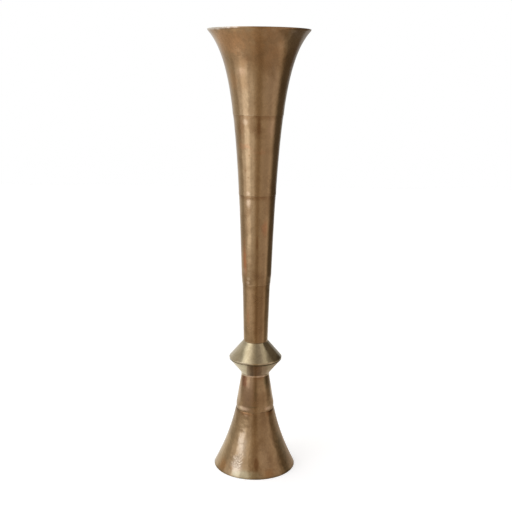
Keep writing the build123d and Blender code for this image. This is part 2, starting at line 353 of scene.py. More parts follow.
def near_ends(tree, height, low_z, high_z, reach):
    """1 at either end of a piece, 0 beyond a reach from it."""
    low_end = fade(tree, height, low_z, low_z + reach, 1, 0)
    return calc(tree, "MAXIMUM", low_end, fade(tree, height, high_z - reach, high_z))


# %% Pits
PIT_SCALE = 430
PIT_EDGE = (0.12, 0.34)
WORN_SCALE = 32
WORN_EDGE = (0.56, 0.66)
WORN_SHARE = 0.5
POCK_SCALE = 300


def find_pits(tree, place, pitted):
    """Small pits here and there, and the deeper pocks of a field of pits if a piece has one."""
    worn = fade(tree, noise(tree, place, WORN_SCALE), *WORN_EDGE)
    worn = calc(tree, "MULTIPLY", worn, WORN_SHARE)
    pocks = 0.0
    if pitted:
        pit_field = patch(tree, place, *pitted)
        worn = calc(tree, "MAXIMUM", worn, pit_field)
        pocks = calc(tree, "MULTIPLY", cell_distance(tree, place, POCK_SCALE), pit_field)
    pits = fade(tree, cell_distance(tree, place, PIT_SCALE), *PIT_EDGE, 1, 0)
    return calc(tree, "MULTIPLY", pits, worn), pocks


# %% Where the marks lie
TARNISH_SCALE = 17
TARNISH_EDGE = (0.42, 0.66)
STAIN_SCALE = 10
STAIN_EDGE = (0.60, 0.72)
STREAK_SCALE = (70, 70, 6)
SPECKLE_SCALE = 260
BROKEN_SCALE = 48
DIRT_REACH = 0.0012
DIRT_EDGE = (0.42, 0.60)
DIRT_LEAST = 0.1
# The pale line at a piece's lower end is worn brass and painted highlight both.
RUB_AND_SHEEN_REACH = 0.0025
RUB_AND_SHEEN_EDGE = (0.54, 0.40)
SCORCH_EDGE = (0.30, 0.62)
DRESSED_REACH = 0.007
# Seam marks are strongest on the left, lit side, and fade towards the right.
LEFT_SIDE_EDGE = (-0.004, 0.006)
LEFT_SIDE_LEAST = 0.15


def find_marks(tree, place, low_z, high_z, scorch_reach, pitted):
    """Where each kind of mark lies on a piece that reaches from one height to another."""
    axes = add_node(tree, "SeparateXYZ", {0: place}).outputs
    height = axes["Z"]
    tarnish = noise(tree, place, TARNISH_SCALE, detail=6, roughness=0.62, distortion=0.5)
    stains = noise(tree, place, STAIN_SCALE, detail=4, roughness=0.6, distortion=1.2)
    broken = noise(tree, place, BROKEN_SCALE, detail=3)
    # Dirt and the pale worn line are kept mostly to the left, lit side, where the seams catch the soft box.
    left_side = fade(tree, axes["X"], *LEFT_SIDE_EDGE, 1, LEFT_SIDE_LEAST)
    pits, pocks = find_pits(tree, place, pitted)

    dirt = near_ends(tree, height, low_z, high_z, DIRT_REACH)
    dirt = calc(tree, "MULTIPLY", dirt, fade(tree, broken, *DIRT_EDGE, DIRT_LEAST, 1))
    rub_and_sheen = fade(tree, height, low_z + RUB_AND_SHEEN_REACH / 4, low_z + RUB_AND_SHEEN_REACH, 1, 0)
    rub_and_sheen = calc(tree, "MULTIPLY", rub_and_sheen, fade(tree, broken, *RUB_AND_SHEEN_EDGE))
    uneven = fade(tree, noise(tree, place, BROKEN_SCALE, detail=4, roughness=0.6), *SCORCH_EDGE)
    scorched = fade(tree, height, high_z - scorch_reach, high_z)
    hammered = noise(tree, place, PATCH_EDGE_SCALE, detail=1)
    dressed = near_ends(tree, height, low_z, high_z, DRESSED_REACH)
    return {
        "tarnished": fade(tree, tarnish, *TARNISH_EDGE),
        "stained": fade(tree, stains, *STAIN_EDGE),
        "streaks": noise(tree, stretched(tree, place, STREAK_SCALE), 1, detail=4, roughness=0.6),
        "speckle": noise(tree, place, SPECKLE_SCALE, detail=3, roughness=0.7),
        "inside": facing_in(tree, place),
        "pits": pits,
        "pocks": pocks,
        "dirt": calc(tree, "MULTIPLY", dirt, left_side),
        "rub_and_sheen": calc(tree, "MULTIPLY", rub_and_sheen, left_side),
        "scorched": calc(tree, "MULTIPLY", scorched, uneven),
        "dressed": calc(tree, "MULTIPLY", dressed, hammered),
    }


# %% Colour of the brass
DIRT = (0.055, 0.036, 0.018)
RUB_AND_SHEEN = (0.56, 0.43, 0.28)
STAIN_STRENGTH = 0.55
SCORCH_STRENGTH = 0.75
RUB_AND_SHEEN_STRENGTH = 0.35
INSIDE_STRENGTH = 0.45
PIT_STRENGTH = 0.6
DIRT_STRENGTH = 0.24
SHADE_EDGE = (0.7, 1.3)
SHADE_RANGE = (0.90, 1.08)


def lay_on(tree, colour, mask, strength, layer):
    """A colour, covered with another one where a mask says so."""
    return blend_colours(tree, calc(tree, "MULTIPLY", mask, strength), colour, (*layer, 1))


def brass_colour(tree, place, marks, clean, tarnish, stain, scorch, patches):
    """Colour of the brass in layers, from clean metal up to dirt; some patches are painted light and shade.
    """
    colour = blend_colours(tree, marks["tarnished"], (*clean, 1), (*tarnish, 1))
    colour = lay_on(tree, colour, marks["stained"], STAIN_STRENGTH, stain)
    colour = lay_on(tree, colour, marks["scorched"], SCORCH_STRENGTH, scorch)
    for centre, size, patch_colour, strength, *edge in patches:
        colour = lay_on(tree, colour, patch(tree, place, centre, size, *edge), strength, patch_colour)
    uneven = calc(tree, "ADD", marks["streaks"], marks["speckle"])
    shade = fade(tree, uneven, *SHADE_EDGE, *SHADE_RANGE)
    grey = add_node(tree, "CombineColor", {0: shade, 1: shade, 2: shade}).outputs[0]
    layers = {0: 1.0, 6: colour, 7: grey}
    colour = add_node(tree, "Mix", layers, data_type="RGBA", blend_type="MULTIPLY").outputs[2]
    # The pale worn line at the lower end, partly a painted highlight.
    colour = lay_on(tree, colour, marks["rub_and_sheen"], RUB_AND_SHEEN_STRENGTH, RUB_AND_SHEEN)
    colour = lay_on(tree, colour, marks["inside"], INSIDE_STRENGTH, tarnish)
    colour = lay_on(tree, colour, marks["pits"], PIT_STRENGTH, DIRT)
    return lay_on(tree, colour, marks["dirt"], DIRT_STRENGTH, DIRT)


# %% Polish and relief of the brass
DULL_ROUGHNESS = 0.3
TARNISH_ROUGHNESS = 0.08
SPECKLE_ROUGHNESS = 0.05
DIRT_ROUGHNESS = 0.16
WAVE_SCALE = 42
LINE_SCALE = (4, 4, 1500)
STREAK_RELIEF = 0.06
DRESSED_RELIEF = 0.30
LINE_RELIEF = 0.006
SPECKLE_RELIEF = 0.006
PIT_RELIEF = -0.12
POCK_RELIEF = 0.8


def brass_roughness(tree, marks, gloss, dull):
    """How matt the brass is: more so where it is tarnished, speckled, dirty or inside."""
    soiled = calc(tree, "MAXIMUM", marks["dirt"], marks["inside"])
    rough = calc(tree, "MULTIPLY_ADD", marks["tarnished"], TARNISH_ROUGHNESS, gloss + DULL_ROUGHNESS * dull)
    rough = calc(tree, "MULTIPLY_ADD", marks["speckle"], SPECKLE_ROUGHNESS, rough)
    return calc(tree, "MULTIPLY_ADD", soiled, DIRT_ROUGHNESS, rough)


def brass_relief(tree, place, marks, wavy):
    """Height of the surface in millimetres: waves of the sheet, then each finer mark on top of them."""
    relief = calc(tree, "MULTIPLY", noise(tree, place, WAVE_SCALE), wavy)
    lines = noise(tree, stretched(tree, place, LINE_SCALE), 1)
    for mark, depth in [
        (marks["streaks"], STREAK_RELIEF),
        (marks["dressed"], DRESSED_RELIEF),
        (lines, LINE_RELIEF),
        (marks["speckle"], SPECKLE_RELIEF),
        (marks["pits"], PIT_RELIEF),
        (marks["pocks"], POCK_RELIEF),
    ]:
        relief = calc(tree, "MULTIPLY_ADD", mark, depth, relief)
    return relief


# %% The brass finish
# Brown of brass scorched by brazing; on the mouth it is also laid as painted shade over a reflection.
SCORCH_AND_SHADE = (0.235, 0.128, 0.058)
SCORCH_REACH = 0.011
MILLIMETRE = 0.001


def brass_finish(name, clean, tarnish, stain, low_z, high_z, gloss=0.17, dull=0.0, wavy=0.45,
                 scorch=SCORCH_AND_SHADE, scorch_reach=SCORCH_REACH, patches=(), pitted=None):
    """Aged brass for one piece, with dirt near its two ends; dull takes away the polish all over.

    The lower end gets a pale worn line, which is also a painted highlight, and the upper one is scorched,
    as brazing leaves them. wavy is how far the sheet is out of true, in millimetres. Each of patches is a
    centre, a size, a colour and a strength, and may add how ragged and how soft its edge is; pitted is the
    centre and the size of a field of pits.
    """
    finish = bpy.data.materials.new(name)
    finish.use_nodes = True
    tree = finish.node_tree
    metal = tree.nodes["Principled BSDF"]
    metal.inputs["Metallic"].default_value = 1.0
    place = add_node(tree, "TexCoord").outputs["Object"]
    marks = find_marks(tree, place, low_z, high_z, scorch_reach, pitted)
    colour = brass_colour(tree, place, marks, clean, tarnish, stain, scorch, patches)
    rough = brass_roughness(tree, marks, gloss, dull)
    relief = brass_relief(tree, place, marks, wavy)
    bump = add_node(tree, "Bump", {"Height": relief, "Distance": MILLIMETRE, "Strength": 1.0}).outputs[0]
    tree.links.new(colour, metal.inputs["Base Color"])
    tree.links.new(rough, metal.inputs["Roughness"])
    tree.links.new(bump, metal.inputs["Normal"])
    print(name, "has", len(patches), "patches and", len(tree.nodes), "nodes")
    return finish


# %% [markdown]
# ## Turning a shell
# Nearly every piece here is round. One way is to draw half of the cross-section and spin it. Another follows
# the metal spinner more closely: start with a ring, then draw it out, ring after ring, wider or narrower,
# along the outline, and close the wall where the last ring meets the first. That keeps every face a clean
# four-sided one, and each ring lies at a height that can be named, so this way is used.
# Real sheet has no knife edges, so a narrow bevel is applied to every corner of the outline.

# %% Shell helper
RING_SIDES = 192


def draw_out(name, outline, closed=True):
    """Draw a ring out along (radius, height) points, and join its ends or cap them."""
    bpy.ops.object.select_all(action="DESELECT")
    radius, height = outline[0]
    bpy.ops.mesh.primitive_circle_add(vertices=RING_SIDES, radius=radius, location=(0, 0, height))
    piece = bpy.context.object
    piece.name = name
    bpy.ops.object.transform_apply(location=True, rotation=True, scale=True)
    bpy.ops.object.mode_set(mode="EDIT")
    bpy.ops.mesh.select_all(action="SELECT")
    for next_radius, next_height in outline[1:]:
        bpy.ops.mesh.extrude_edges_move(TRANSFORM_OT_translate={"value": (0, 0, next_height - height)})
        growth = next_radius / radius
        bpy.ops.transform.resize(value=(growth, growth, 1), center_override=(0, 0, next_height))
        radius, height = next_radius, next_height
    bpy.ops.mesh.select_mode(type="EDGE")
    if closed:
        bpy.ops.mesh.select_all(action="DESELECT")
        bpy.ops.mesh.select_non_manifold()
        bpy.ops.mesh.bridge_edge_loops()
    else:
        bpy.ops.mesh.select_all(action="SELECT")
        bpy.ops.mesh.fill_holes(sides=0)
    bpy.ops.mesh.select_all(action="SELECT")
    bpy.ops.mesh.normals_make_consistent(inside=False)
    bpy.ops.object.mode_set(mode="OBJECT")
    return piece


# %% Bend helper
BEND_STEPS = 5
NEAR = 0.00001


def bend_ring(piece, radius, height, size):
    """Round off the ring of edges that lies at a radius and a height."""
    ring = {
        corner.index
        for corner in piece.data.vertices
        if abs(math.hypot(corner.co.x, corner.co.y) - radius) < NEAR and abs(corner.co.z - height) < NEAR
    }
    bpy.ops.object.mode_set(mode="EDIT")
    bpy.ops.mesh.select_all(action="DESELECT")
    bpy.ops.object.mode_set(mode="OBJECT")
    for edge in piece.data.edges:
        edge.select = set(edge.vertices) <= ring
    bpy.ops.object.mode_set(mode="EDIT")
    bpy.ops.mesh.bevel(offset=size, segments=BEND_STEPS, affect="EDGES")
    bpy.ops.object.mode_set(mode="OBJECT")


# %% Finish helper
SOFT_EDGE = 0.0004
SOFT_EDGE_STEPS = 3
SMOOTH_ANGLE = math.radians(32)


def finish_piece(piece, node, material, edge=SOFT_EDGE):
    """Soften a piece's edges, give it its material and put it in the place of its node."""
    bpy.ops.object.select_all(action="DESELECT")
    bpy.context.view_layer.objects.active = piece
    piece.select_set(True)
    if edge:
        bevel = piece.modifiers.new("soft_edge", "BEVEL")
        bevel.width = edge
        bevel.segments = SOFT_EDGE_STEPS
        bevel.limit_method = "ANGLE"
        bevel.angle_limit = SMOOTH_ANGLE
        bpy.ops.object.modifier_apply(modifier=bevel.name)
    bpy.ops.object.shade_smooth_by_angle(angle=SMOOTH_ANGLE)
    piece.data.materials.append(material)
    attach(piece, "root")
    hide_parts(node)
    print(piece.name, "has", len(piece.data.polygons), "faces")


# %% [markdown]
# ## The trumpet
# Its outline is the law that instrument makers use for a horn: slow at first, then opening faster and faster
# towards the mouth. Four sections share that one curve, each set in a little from the one above. The lower
# end of a section is crimped into a short band, and the one below goes up inside it with a thin wall of its
# own. They could be one long shell with lines painted on it, but the steps at the seams catch the light.
# Drawing every section from the same formula makes the curve run on across the seams, as on the real vase.

# %% The horn law
WALL = 0.0015
MOUTH_RADIUS = 0.0913
FLARE_LENGTH = 0.0495
FLARE_POWER = 0.529
RING_SPACING = 0.0025
LIP_RADIUS = 0.0897
mouth_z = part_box("mouth_section")[1].z


def horn_radius(z):
    """Radius of the trumpet's outline at a height, up to the lip, whose edge stands upright."""
    return min(LIP_RADIUS, MOUTH_RADIUS * (1 + (mouth_z - z) / FLARE_LENGTH) ** -FLARE_POWER)


def horn_bore(z):
    """Radius inside the sheet at a height."""
    slope = FLARE_POWER * horn_radius(z) / (FLARE_LENGTH + mouth_z - z)
    return horn_radius(z) - WALL * math.hypot(1, slope)


def heights(low, high):
    """Evenly spaced heights, about one ring spacing apart."""
    steps = max(2, round((high - low) / RING_SPACING))
    return [low + (high - low) * step / steps for step in range(steps + 1)]


# %% Outline of a trumpet section
LAP = 0.016
LAP_ROOM = 0.0015
JOGGLE = 0.0025
SEAM_STEP = 0.0004
SEAM_SWELL = 0.00021
SEAM_REACH = 0.005
BRAZE_GAP = 0.0001


def swelling(z, seam):
    """How far the sheet stands out at a height, where it was dressed down over a seam."""
    return SEAM_SWELL * math.exp(-(((z - seam) / SEAM_REACH) ** 2))


def trumpet_outline(low_z, high_z, inset, inset_below=None, inset_above=None):
    """Outline of one section, crimped where one is below it, and with a spigot where one is above it."""
    wall_z = low_z if inset_below is None else low_z + LAP
    outside = [(horn_radius(z) - inset, z) for z in heights(wall_z, high_z)]
    if inset_below is not None:
        edge = horn_radius(low_z) - inset_below + SEAM_STEP
        slope = (outside[0][0] - edge) / LAP
        outside = [(edge + slope * (z - low_z), z) for z in heights(low_z, wall_z)[:-1]] + outside
        outside = [(radius + swelling(z, low_z), z) for radius, z in outside]
    spigot = []
    inner_z = high_z
    if inset_above is not None:
        outside = [(radius + swelling(z, high_z), z) for radius, z in outside]
        inner_z = high_z - JOGGLE
        seam_bore = horn_radius(high_z) - inset + SEAM_STEP - WALL
        lap_bore = horn_bore(high_z + LAP) - inset_above
        foot = seam_bore - BRAZE_GAP
        end = seam_bore + (lap_bore - seam_bore) * (1 - LAP_ROOM / LAP) - BRAZE_GAP
        end_z = high_z + LAP - LAP_ROOM
        spigot = [(foot, high_z), (end, end_z), (end - WALL, end_z), (foot - WALL, high_z)]
    inside = [(horn_bore(z) - inset, z) for z in reversed(heights(wall_z, inner_z))]
    if inset_below is not None:
        inside.append((horn_radius(low_z) - inset_below + SEAM_STEP - WALL, low_z))
    return outside + spigot + inside


# %% Heights of the seams
UPPER_INSET = 0.0002
MIDDLE_INSET = 0.0004
LOWER_INSET = 0.0020
SEAM_EDGE = 0.0002
TRUMPET_WAVES = 0.6
knop_top_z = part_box("lower_neck_section")[0].z
lower_seam_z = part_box("middle_neck_section")[0].z
middle_seam_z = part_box("upper_neck_section")[0].z
upper_seam_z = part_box("mouth_section")[0].z
print("seams in mm:", [round(1000 * seam) for seam in (lower_seam_z, middle_seam_z, upper_seam_z)])

# %% Mouth
MOUTH_BEND = 0.0010
GOLDEN = (0.37, 0.262, 0.150)
UMBER = (0.27, 0.175, 0.092)
COPPER = (0.42, 0.225, 0.120)
MOUTH_COPPER = (0.350, 0.205, 0.098)
MOUTH_COPPER_REACH = 0.095
# Painted shade: brown laid over the soft box's reflection on the mouth, so that the reflection starts lower.
MOUTH_PAINTED_SHADE = (0.29, 0.185, 0.095)
MOUTH_ORANGE = (0.52, 0.300, 0.150)
ROSE = (0.56, 0.38, 0.26)
# Painted light: paler brass that brightens the reflection on the mouth's right.
MOUTH_PAINTED_LIGHT = (0.52, 0.390, 0.250)
# Painted reflection: the pale grey of the lip's edge where it catches the white backdrop.
RIM_PAINTED_REFLECTION = (0.76, 0.710, 0.640)

mouth = draw_out("mouth", trumpet_outline(upper_seam_z, mouth_z, 0, inset_below=UPPER_INSET))
bend_ring(mouth, LIP_RADIUS, mouth_z, MOUTH_BEND)
mouth_finish = brass_finish(
    "mouth_brass", GOLDEN, UMBER, COPPER, upper_seam_z, mouth_z + DIRT_REACH,
    scorch=MOUTH_COPPER, scorch_reach=MOUTH_COPPER_REACH, wavy=TRUMPET_WAVES,
    patches=[
        # Painted shade over the upper end of the soft box's reflection, in brown and scorch brown.
        ((-0.0290, -0.0532, 0.7460), (0.028, 0.028, 0.019), MOUTH_PAINTED_SHADE, 0.95),
        ((-0.0255, -0.0580, 0.7510), (0.014, 0.020, 0.020), SCORCH_AND_SHADE, 0.4),
        ((-0.0299, -0.0480, 0.7269), (0.012, 0.012, 0.010), ROSE, 0.4),
        # More painted shade, dimming the soft box's reflection further down.
        ((-0.0260, -0.0470, 0.7140), (0.018, 0.018, 0.026), MOUTH_PAINTED_SHADE, 0.75),
        # Painted shade, dimming the room's reflection just right of the soft box's.
        ((-0.0110, -0.0440, 0.6780), (0.007, 0.012, 0.028), UMBER, 0.5),
        # Painted light on the mouth's right.
        ((0.0220, -0.0430, 0.7000), (0.022, 0.022, 0.050), MOUTH_PAINTED_LIGHT, 0.35),
        ((-0.0428, -0.0321, 0.7150), (0.013, 0.013, 0.032), MOUTH_ORANGE, 0.5),
        ((-0.0500, -0.0500, 0.7780), (0.045, 0.045, 0.030), MOUTH_ORANGE, 0.7),
        ((0.0400, -0.0650, 0.7880), (0.040, 0.040, 0.022), UMBER, 0.8),
        # Painted light on the mouth's right, near the lip.
        ((0.0560, -0.0520, 0.7780), (0.030, 0.030, 0.026), MOUTH_PAINTED_LIGHT, 0.6),
        # Painted reflection of the white backdrop along the lip, strong on the left and faint on the right.
        ((-0.0720, -0.0500, 0.7995), (0.060, 0.060, 0.0040), RIM_PAINTED_REFLECTION, 1.0),
        ((0.0680, -0.0480, 0.7920), (0.032, 0.032, 0.012), RIM_PAINTED_REFLECTION, 0.15),
    ],
)
finish_piece(mouth, "mouth_section", mouth_finish, SEAM_EDGE)

# %% Upper neck
# Painted highlight: bright dabs beside the seams, where the dressed sheet catches the soft box.
SEAM_PAINTED_HIGHLIGHT = (0.62, 0.480, 0.345)

upper_neck = draw_out(
    "upper_neck", trumpet_outline(middle_seam_z, upper_seam_z, UPPER_INSET, MIDDLE_INSET, inset_above=0)
)
upper_finish = brass_finish(
    "upper_neck_brass", GOLDEN, UMBER, COPPER, middle_seam_z, upper_seam_z, wavy=TRUMPET_WAVES,
    patches=[
        ((-0.0300, -0.0290, 0.6340), (0.011, 0.011, 0.022), SCORCH_AND_SHADE, 0.6),
        # Painted shade, dimming the room's reflection just right of the soft box's.
        ((-0.0105, -0.0415, 0.6380), (0.007, 0.012, 0.022), UMBER, 0.8),
        ((0.0255, -0.0340, 0.6350), (0.014, 0.014, 0.024), ROSE, 0.3),
        ((-0.0145, -0.0330, 0.5870), (0.0025, 0.003, 0.0025), SCORCH_AND_SHADE, 0.8),
        ((-0.0205, -0.0275, 0.5600), (0.0040, 0.004, 0.0050), SCORCH_AND_SHADE, 0.6),
        ((-0.0160, -0.0300, 0.5480), (0.0030, 0.003, 0.0020), SCORCH_AND_SHADE, 0.7),
        ((0.0013, -0.0430, 0.6360), (0.004, 0.012, 0.024), SCORCH_AND_SHADE, 0.75),
        # Painted highlights above and below the seams.
        ((-0.0221, -0.0363, 0.6440), (0.006, 0.010, 0.006), SEAM_PAINTED_HIGHLIGHT, 0.35),
        ((-0.0162, -0.0289, 0.5200), (0.005, 0.009, 0.005), SEAM_PAINTED_HIGHLIGHT, 0.3),
    ],
)
finish_piece(upper_neck, "upper_neck_section", upper_finish, SEAM_EDGE)

# %% Middle neck
STREAK = (0.46, 0.215, 0.105)

middle_neck = draw_out(
    "middle_neck", trumpet_outline(lower_seam_z, middle_seam_z, MIDDLE_INSET, LOWER_INSET, UPPER_INSET)
)
middle_finish = brass_finish(
    "middle_neck_brass", GOLDEN, UMBER, COPPER, lower_seam_z, middle_seam_z, wavy=TRUMPET_WAVES,
    patches=[
        ((-0.0218, -0.0184, 0.3950), (0.0062, 0.0062, 0.042), STREAK, 1.0),
        # Painted shade, dimming the soft box's reflection part way down the middle neck.
        ((-0.0133, -0.0264, 0.4590), (0.010, 0.010, 0.016), UMBER, 0.5),
        ((-0.0220, -0.0168, 0.3769), (0.006, 0.006, 0.010), ROSE, 0.6),
        ((0.0142, -0.0270, 0.4578), (0.008, 0.009, 0.018), COPPER, 0.7),
        ((0.0006, -0.0290, 0.4310), (0.0035, 0.010, 0.014), SCORCH_AND_SHADE, 0.6),
        # Painted highlights above and below the seams.
        ((-0.0158, -0.0281, 0.5030), (0.005, 0.009, 0.010), SEAM_PAINTED_HIGHLIGHT, 0.45),
        ((-0.0143, -0.0223, 0.3650), (0.004, 0.008, 0.004), SEAM_PAINTED_HIGHLIGHT, 0.65),
        ((-0.0150, -0.0210, 0.3570), (0.004, 0.008, 0.004), SEAM_PAINTED_HIGHLIGHT, 0.55),
    ],
)
finish_piece(middle_neck, "middle_neck_section", middle_finish, SEAM_EDGE)

# %% Lower neck
LOWER_GOLDEN = (0.33, 0.224, 0.120)
LOWER_UMBER = (0.25, 0.158, 0.079)
# Painted highlight: paler brass on the lower neck's left, where the soft box's reflection falls.
LOWER_PAINTED_HIGHLIGHT = (0.48, 0.330, 0.190)

lower_neck = draw_out(
    "lower_neck", trumpet_outline(knop_top_z, lower_seam_z, LOWER_INSET, inset_above=MIDDLE_INSET)
)
lower_finish = brass_finish(
    "lower_neck_brass", LOWER_GOLDEN, LOWER_UMBER, COPPER, knop_top_z, lower_seam_z,
    scorch=LOWER_UMBER,
    patches=[
        # Painted highlight on the left.
        ((-0.0140, -0.0210, 0.3100), (0.014, 0.014, 0.070), LOWER_PAINTED_HIGHLIGHT, 0.75),
        ((-0.0205, -0.0145, 0.3200), (0.005, 0.006, 0.030), LOWER_UMBER, 0.5),
        ((0.0062, -0.0230, 0.2720), (0.009, 0.010, 0.048), LOWER_UMBER, 0.75),
        ((-0.0158, -0.0198, 0.2899), (0.005, 0.005, 0.026), COPPER, 0.7),
    ],
)
finish_piece(lower_neck, "lower_neck_section", lower_finish)

# %% [markdown]
# ## The knop
# Two spun cones, back to back. The upper one ends in a short skirt that drops over the rim of the lower one,
# so a thin shadow runs round below the ridge. The lower one ends in a short lip that hides the top of the
# foot. One turned block would give the same outline, but no gap under the skirt, so there are two shells.
# The knop is paler than the rest: it has been rubbed cleaner. Its ridge has a fine bright line, so the upper
# cone's bevel is a little wider, to catch the light.

# %% Straight cones
def cone_run(low, high):
    """Breadth of the sheet measured level, on a straight cone between two (radius, height) points."""
    return WALL * math.hypot(1, (high[0] - low[0]) / (high[1] - low[1]))


def cone_height(low, high, radius):
    """Height at which a straight cone between two (radius, height) points reaches a radius."""
    return low[1] + (high[1] - low[1]) * (radius - low[0]) / (high[0] - low[0])


# %% Upper cone of the knop
KNOP_SKIRT = 0.0024
KNOP_LEDGE = 0.0004
KNOP_EDGE = 0.0006
KNOP_WAVES = 0.25
PILOT_RADIUS = 0.0112
PALE = (0.50, 0.435, 0.310)
OLIVE = (0.39, 0.330, 0.222)
DARK_OLIVE = (0.15, 0.125, 0.065)
TAN = (0.42, 0.300, 0.190)

skirt_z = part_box("knop_upper_cone")[0].z
knop_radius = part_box("knop_upper_cone")[1].x
knop_top_radius = horn_radius(knop_top_z) - LOWER_INSET + KNOP_LEDGE
crown_z = knop_top_z - WALL
ridge = (knop_radius, skirt_z + KNOP_SKIRT)
crown = (knop_top_radius, knop_top_z)
upper_run = cone_run(ridge, crown)
skirt_bore = knop_radius - WALL
skirt_root_z = cone_height(ridge, crown, skirt_bore + upper_run)
crown_bore = ridge[0] + (crown[0] - ridge[0]) * (crown_z - ridge[1]) / (crown[1] - ridge[1]) - upper_run
upper_cone = draw_out(
    "knop_upper",
    [
        (PILOT_RADIUS, knop_top_z),
        crown,
        ridge,
        (knop_radius, skirt_z),
        (skirt_bore, skirt_z),
        (skirt_bore, skirt_root_z),
        (crown_bore, crown_z),
        (PILOT_RADIUS, crown_z),
    ],
)
knop_finish = brass_finish(
    "knop_brass", PALE, OLIVE, TAN, skirt_z - DIRT_REACH, knop_top_z + DIRT_REACH, gloss=0.10,
    scorch=OLIVE, wavy=KNOP_WAVES,
    patches=[
        ((0.0420, -0.0180, 0.2150), (0.010, 0.012, 0.008), DARK_OLIVE, 0.6),
    ],
)
finish_piece(upper_cone, "knop_upper_cone", knop_finish, KNOP_EDGE)

# %% Lower cone of the knop
KNOP_REVEAL = 0.0014
KNOP_WAIST = 0.0258
KNOP_LIP_HEIGHT = 0.0030
KNOP_LIP_FLARE = 0.0005
# Painted reflection: the lower cone faces down towards the collar and the foot, and their darker reflection
# is painted on its front in tan and brown.
LIP_PAINTED_REFLECTION = (0.34, 0.250, 0.165)
LIP_PAINTED_DARK_REFLECTION = (0.215, 0.159, 0.103)
# Painted highlight: a bright line along the lip.
LIP_PAINTED_HIGHLIGHT = (0.60, 0.460, 0.340)

foot_top_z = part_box("knop_lower_cone")[0].z
rim_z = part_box("knop_lower_cone")[1].z
shoulder = (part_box("knop_lower_cone")[1].x, skirt_z - KNOP_REVEAL)
waist = (KNOP_WAIST, foot_top_z + KNOP_LIP_HEIGHT)
lower_run = cone_run(waist, shoulder)
rim_radius = skirt_bore - BRAZE_GAP
waist_bore = KNOP_WAIST - WALL
lower_cone = draw_out(
    "knop_lower",
    [
        (KNOP_WAIST + KNOP_LIP_FLARE, foot_top_z),
        waist,
        shoulder,
        (rim_radius, shoulder[1]),
        (rim_radius, rim_z),
        (rim_radius - WALL, rim_z),
        (rim_radius - WALL, cone_height(waist, shoulder, rim_radius - WALL + lower_run)),
        (waist_bore, cone_height(waist, shoulder, waist_bore + lower_run)),
        (KNOP_WAIST + KNOP_LIP_FLARE - WALL, foot_top_z),
    ],
)
lip_finish = brass_finish(
    "knop_lip_brass", PALE, OLIVE, TAN, foot_top_z - RUB_AND_SHEEN_REACH, skirt_z - KNOP_REVEAL, gloss=0.12,
    scorch=OLIVE, wavy=KNOP_WAVES,
    patches=[
        # Painted reflection of the collar and the foot, tan with a browner left edge.
        ((0.0030, -0.0360, 0.1940), (0.0285, 0.080, 0.060), LIP_PAINTED_REFLECTION, 0.85, 0.2, 0.25),
        ((-0.0095, -0.0350, 0.1940), (0.0092, 0.080, 0.060), LIP_PAINTED_DARK_REFLECTION, 0.9, 0.2, 0.35),
        # Painted highlight along the lip.
        ((-0.0060, -0.0255, 0.1795), (0.036, 0.036, 0.0028), LIP_PAINTED_HIGHLIGHT, 0.9),
        # Painted shadow: a dark band on the shoulder, under the skirt's edge.
        ((0.0170, -0.0420, 0.2092), (0.044, 0.060, 0.0032), DARK_OLIVE, 0.75),
    ],
)
finish_piece(lower_cone, "knop_lower_cone", lip_finish, SEAM_EDGE)

# %% [markdown]
# ## The foot
# A steep collar and a flared base. The collar ends in a short straight tail that goes down inside the neck
# of the base, and its upper end goes up inside the knop. The base curves out to a rim and turns in
# underneath, so that the vase stands on a smooth ring and not on a cut edge. A solid foot would be easier,
# but a foot of sheet metal is hollow and open below, so it is a shell here too.

# %% Foot collar
BAND_HEIGHT = 0.010
LIP_OVERHANG = 0.0008
COLLAR_ROSE = (0.25, 0.160, 0.095)
COLLAR_RED = (0.24, 0.118, 0.066)
# Painted highlight: pale brass where the band and the collar's edge catch the light.
BAND_PAINTED_HIGHLIGHT = (0.62, 0.470, 0.340)

tail_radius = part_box("foot_collar_section")[1].x
tail_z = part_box("foot_collar_section")[0].z
spigot_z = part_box("foot_collar_section")[1].z
foot_seam_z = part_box("foot_flare")[1].z
band_top = (tail_radius, foot_seam_z + BAND_HEIGHT)
collar_top = (KNOP_WAIST + KNOP_LIP_FLARE - LIP_OVERHANG, foot_top_z)
collar_run = cone_run(band_top, collar_top)
collar_spigot = waist_bore - BRAZE_GAP
joggle_z = foot_top_z - JOGGLE
joggle_share = JOGGLE / (foot_top_z - band_top[1])
joggle_radius = collar_top[0] + (band_top[0] - collar_top[0]) * joggle_share - collar_run
tail_bore = tail_radius - WALL
collar = draw_out(
    "foot_collar",
    [
        (tail_radius, tail_z),
        band_top,
        collar_top,
        (collar_spigot, foot_top_z),
        (collar_spigot, spigot_z),
        (collar_spigot - WALL, spigot_z),
        (collar_spigot - WALL, foot_top_z),
        (joggle_radius, joggle_z),
        (tail_bore, cone_height(band_top, collar_top, tail_bore + collar_run)),
        (tail_bore, tail_z),
    ],
)
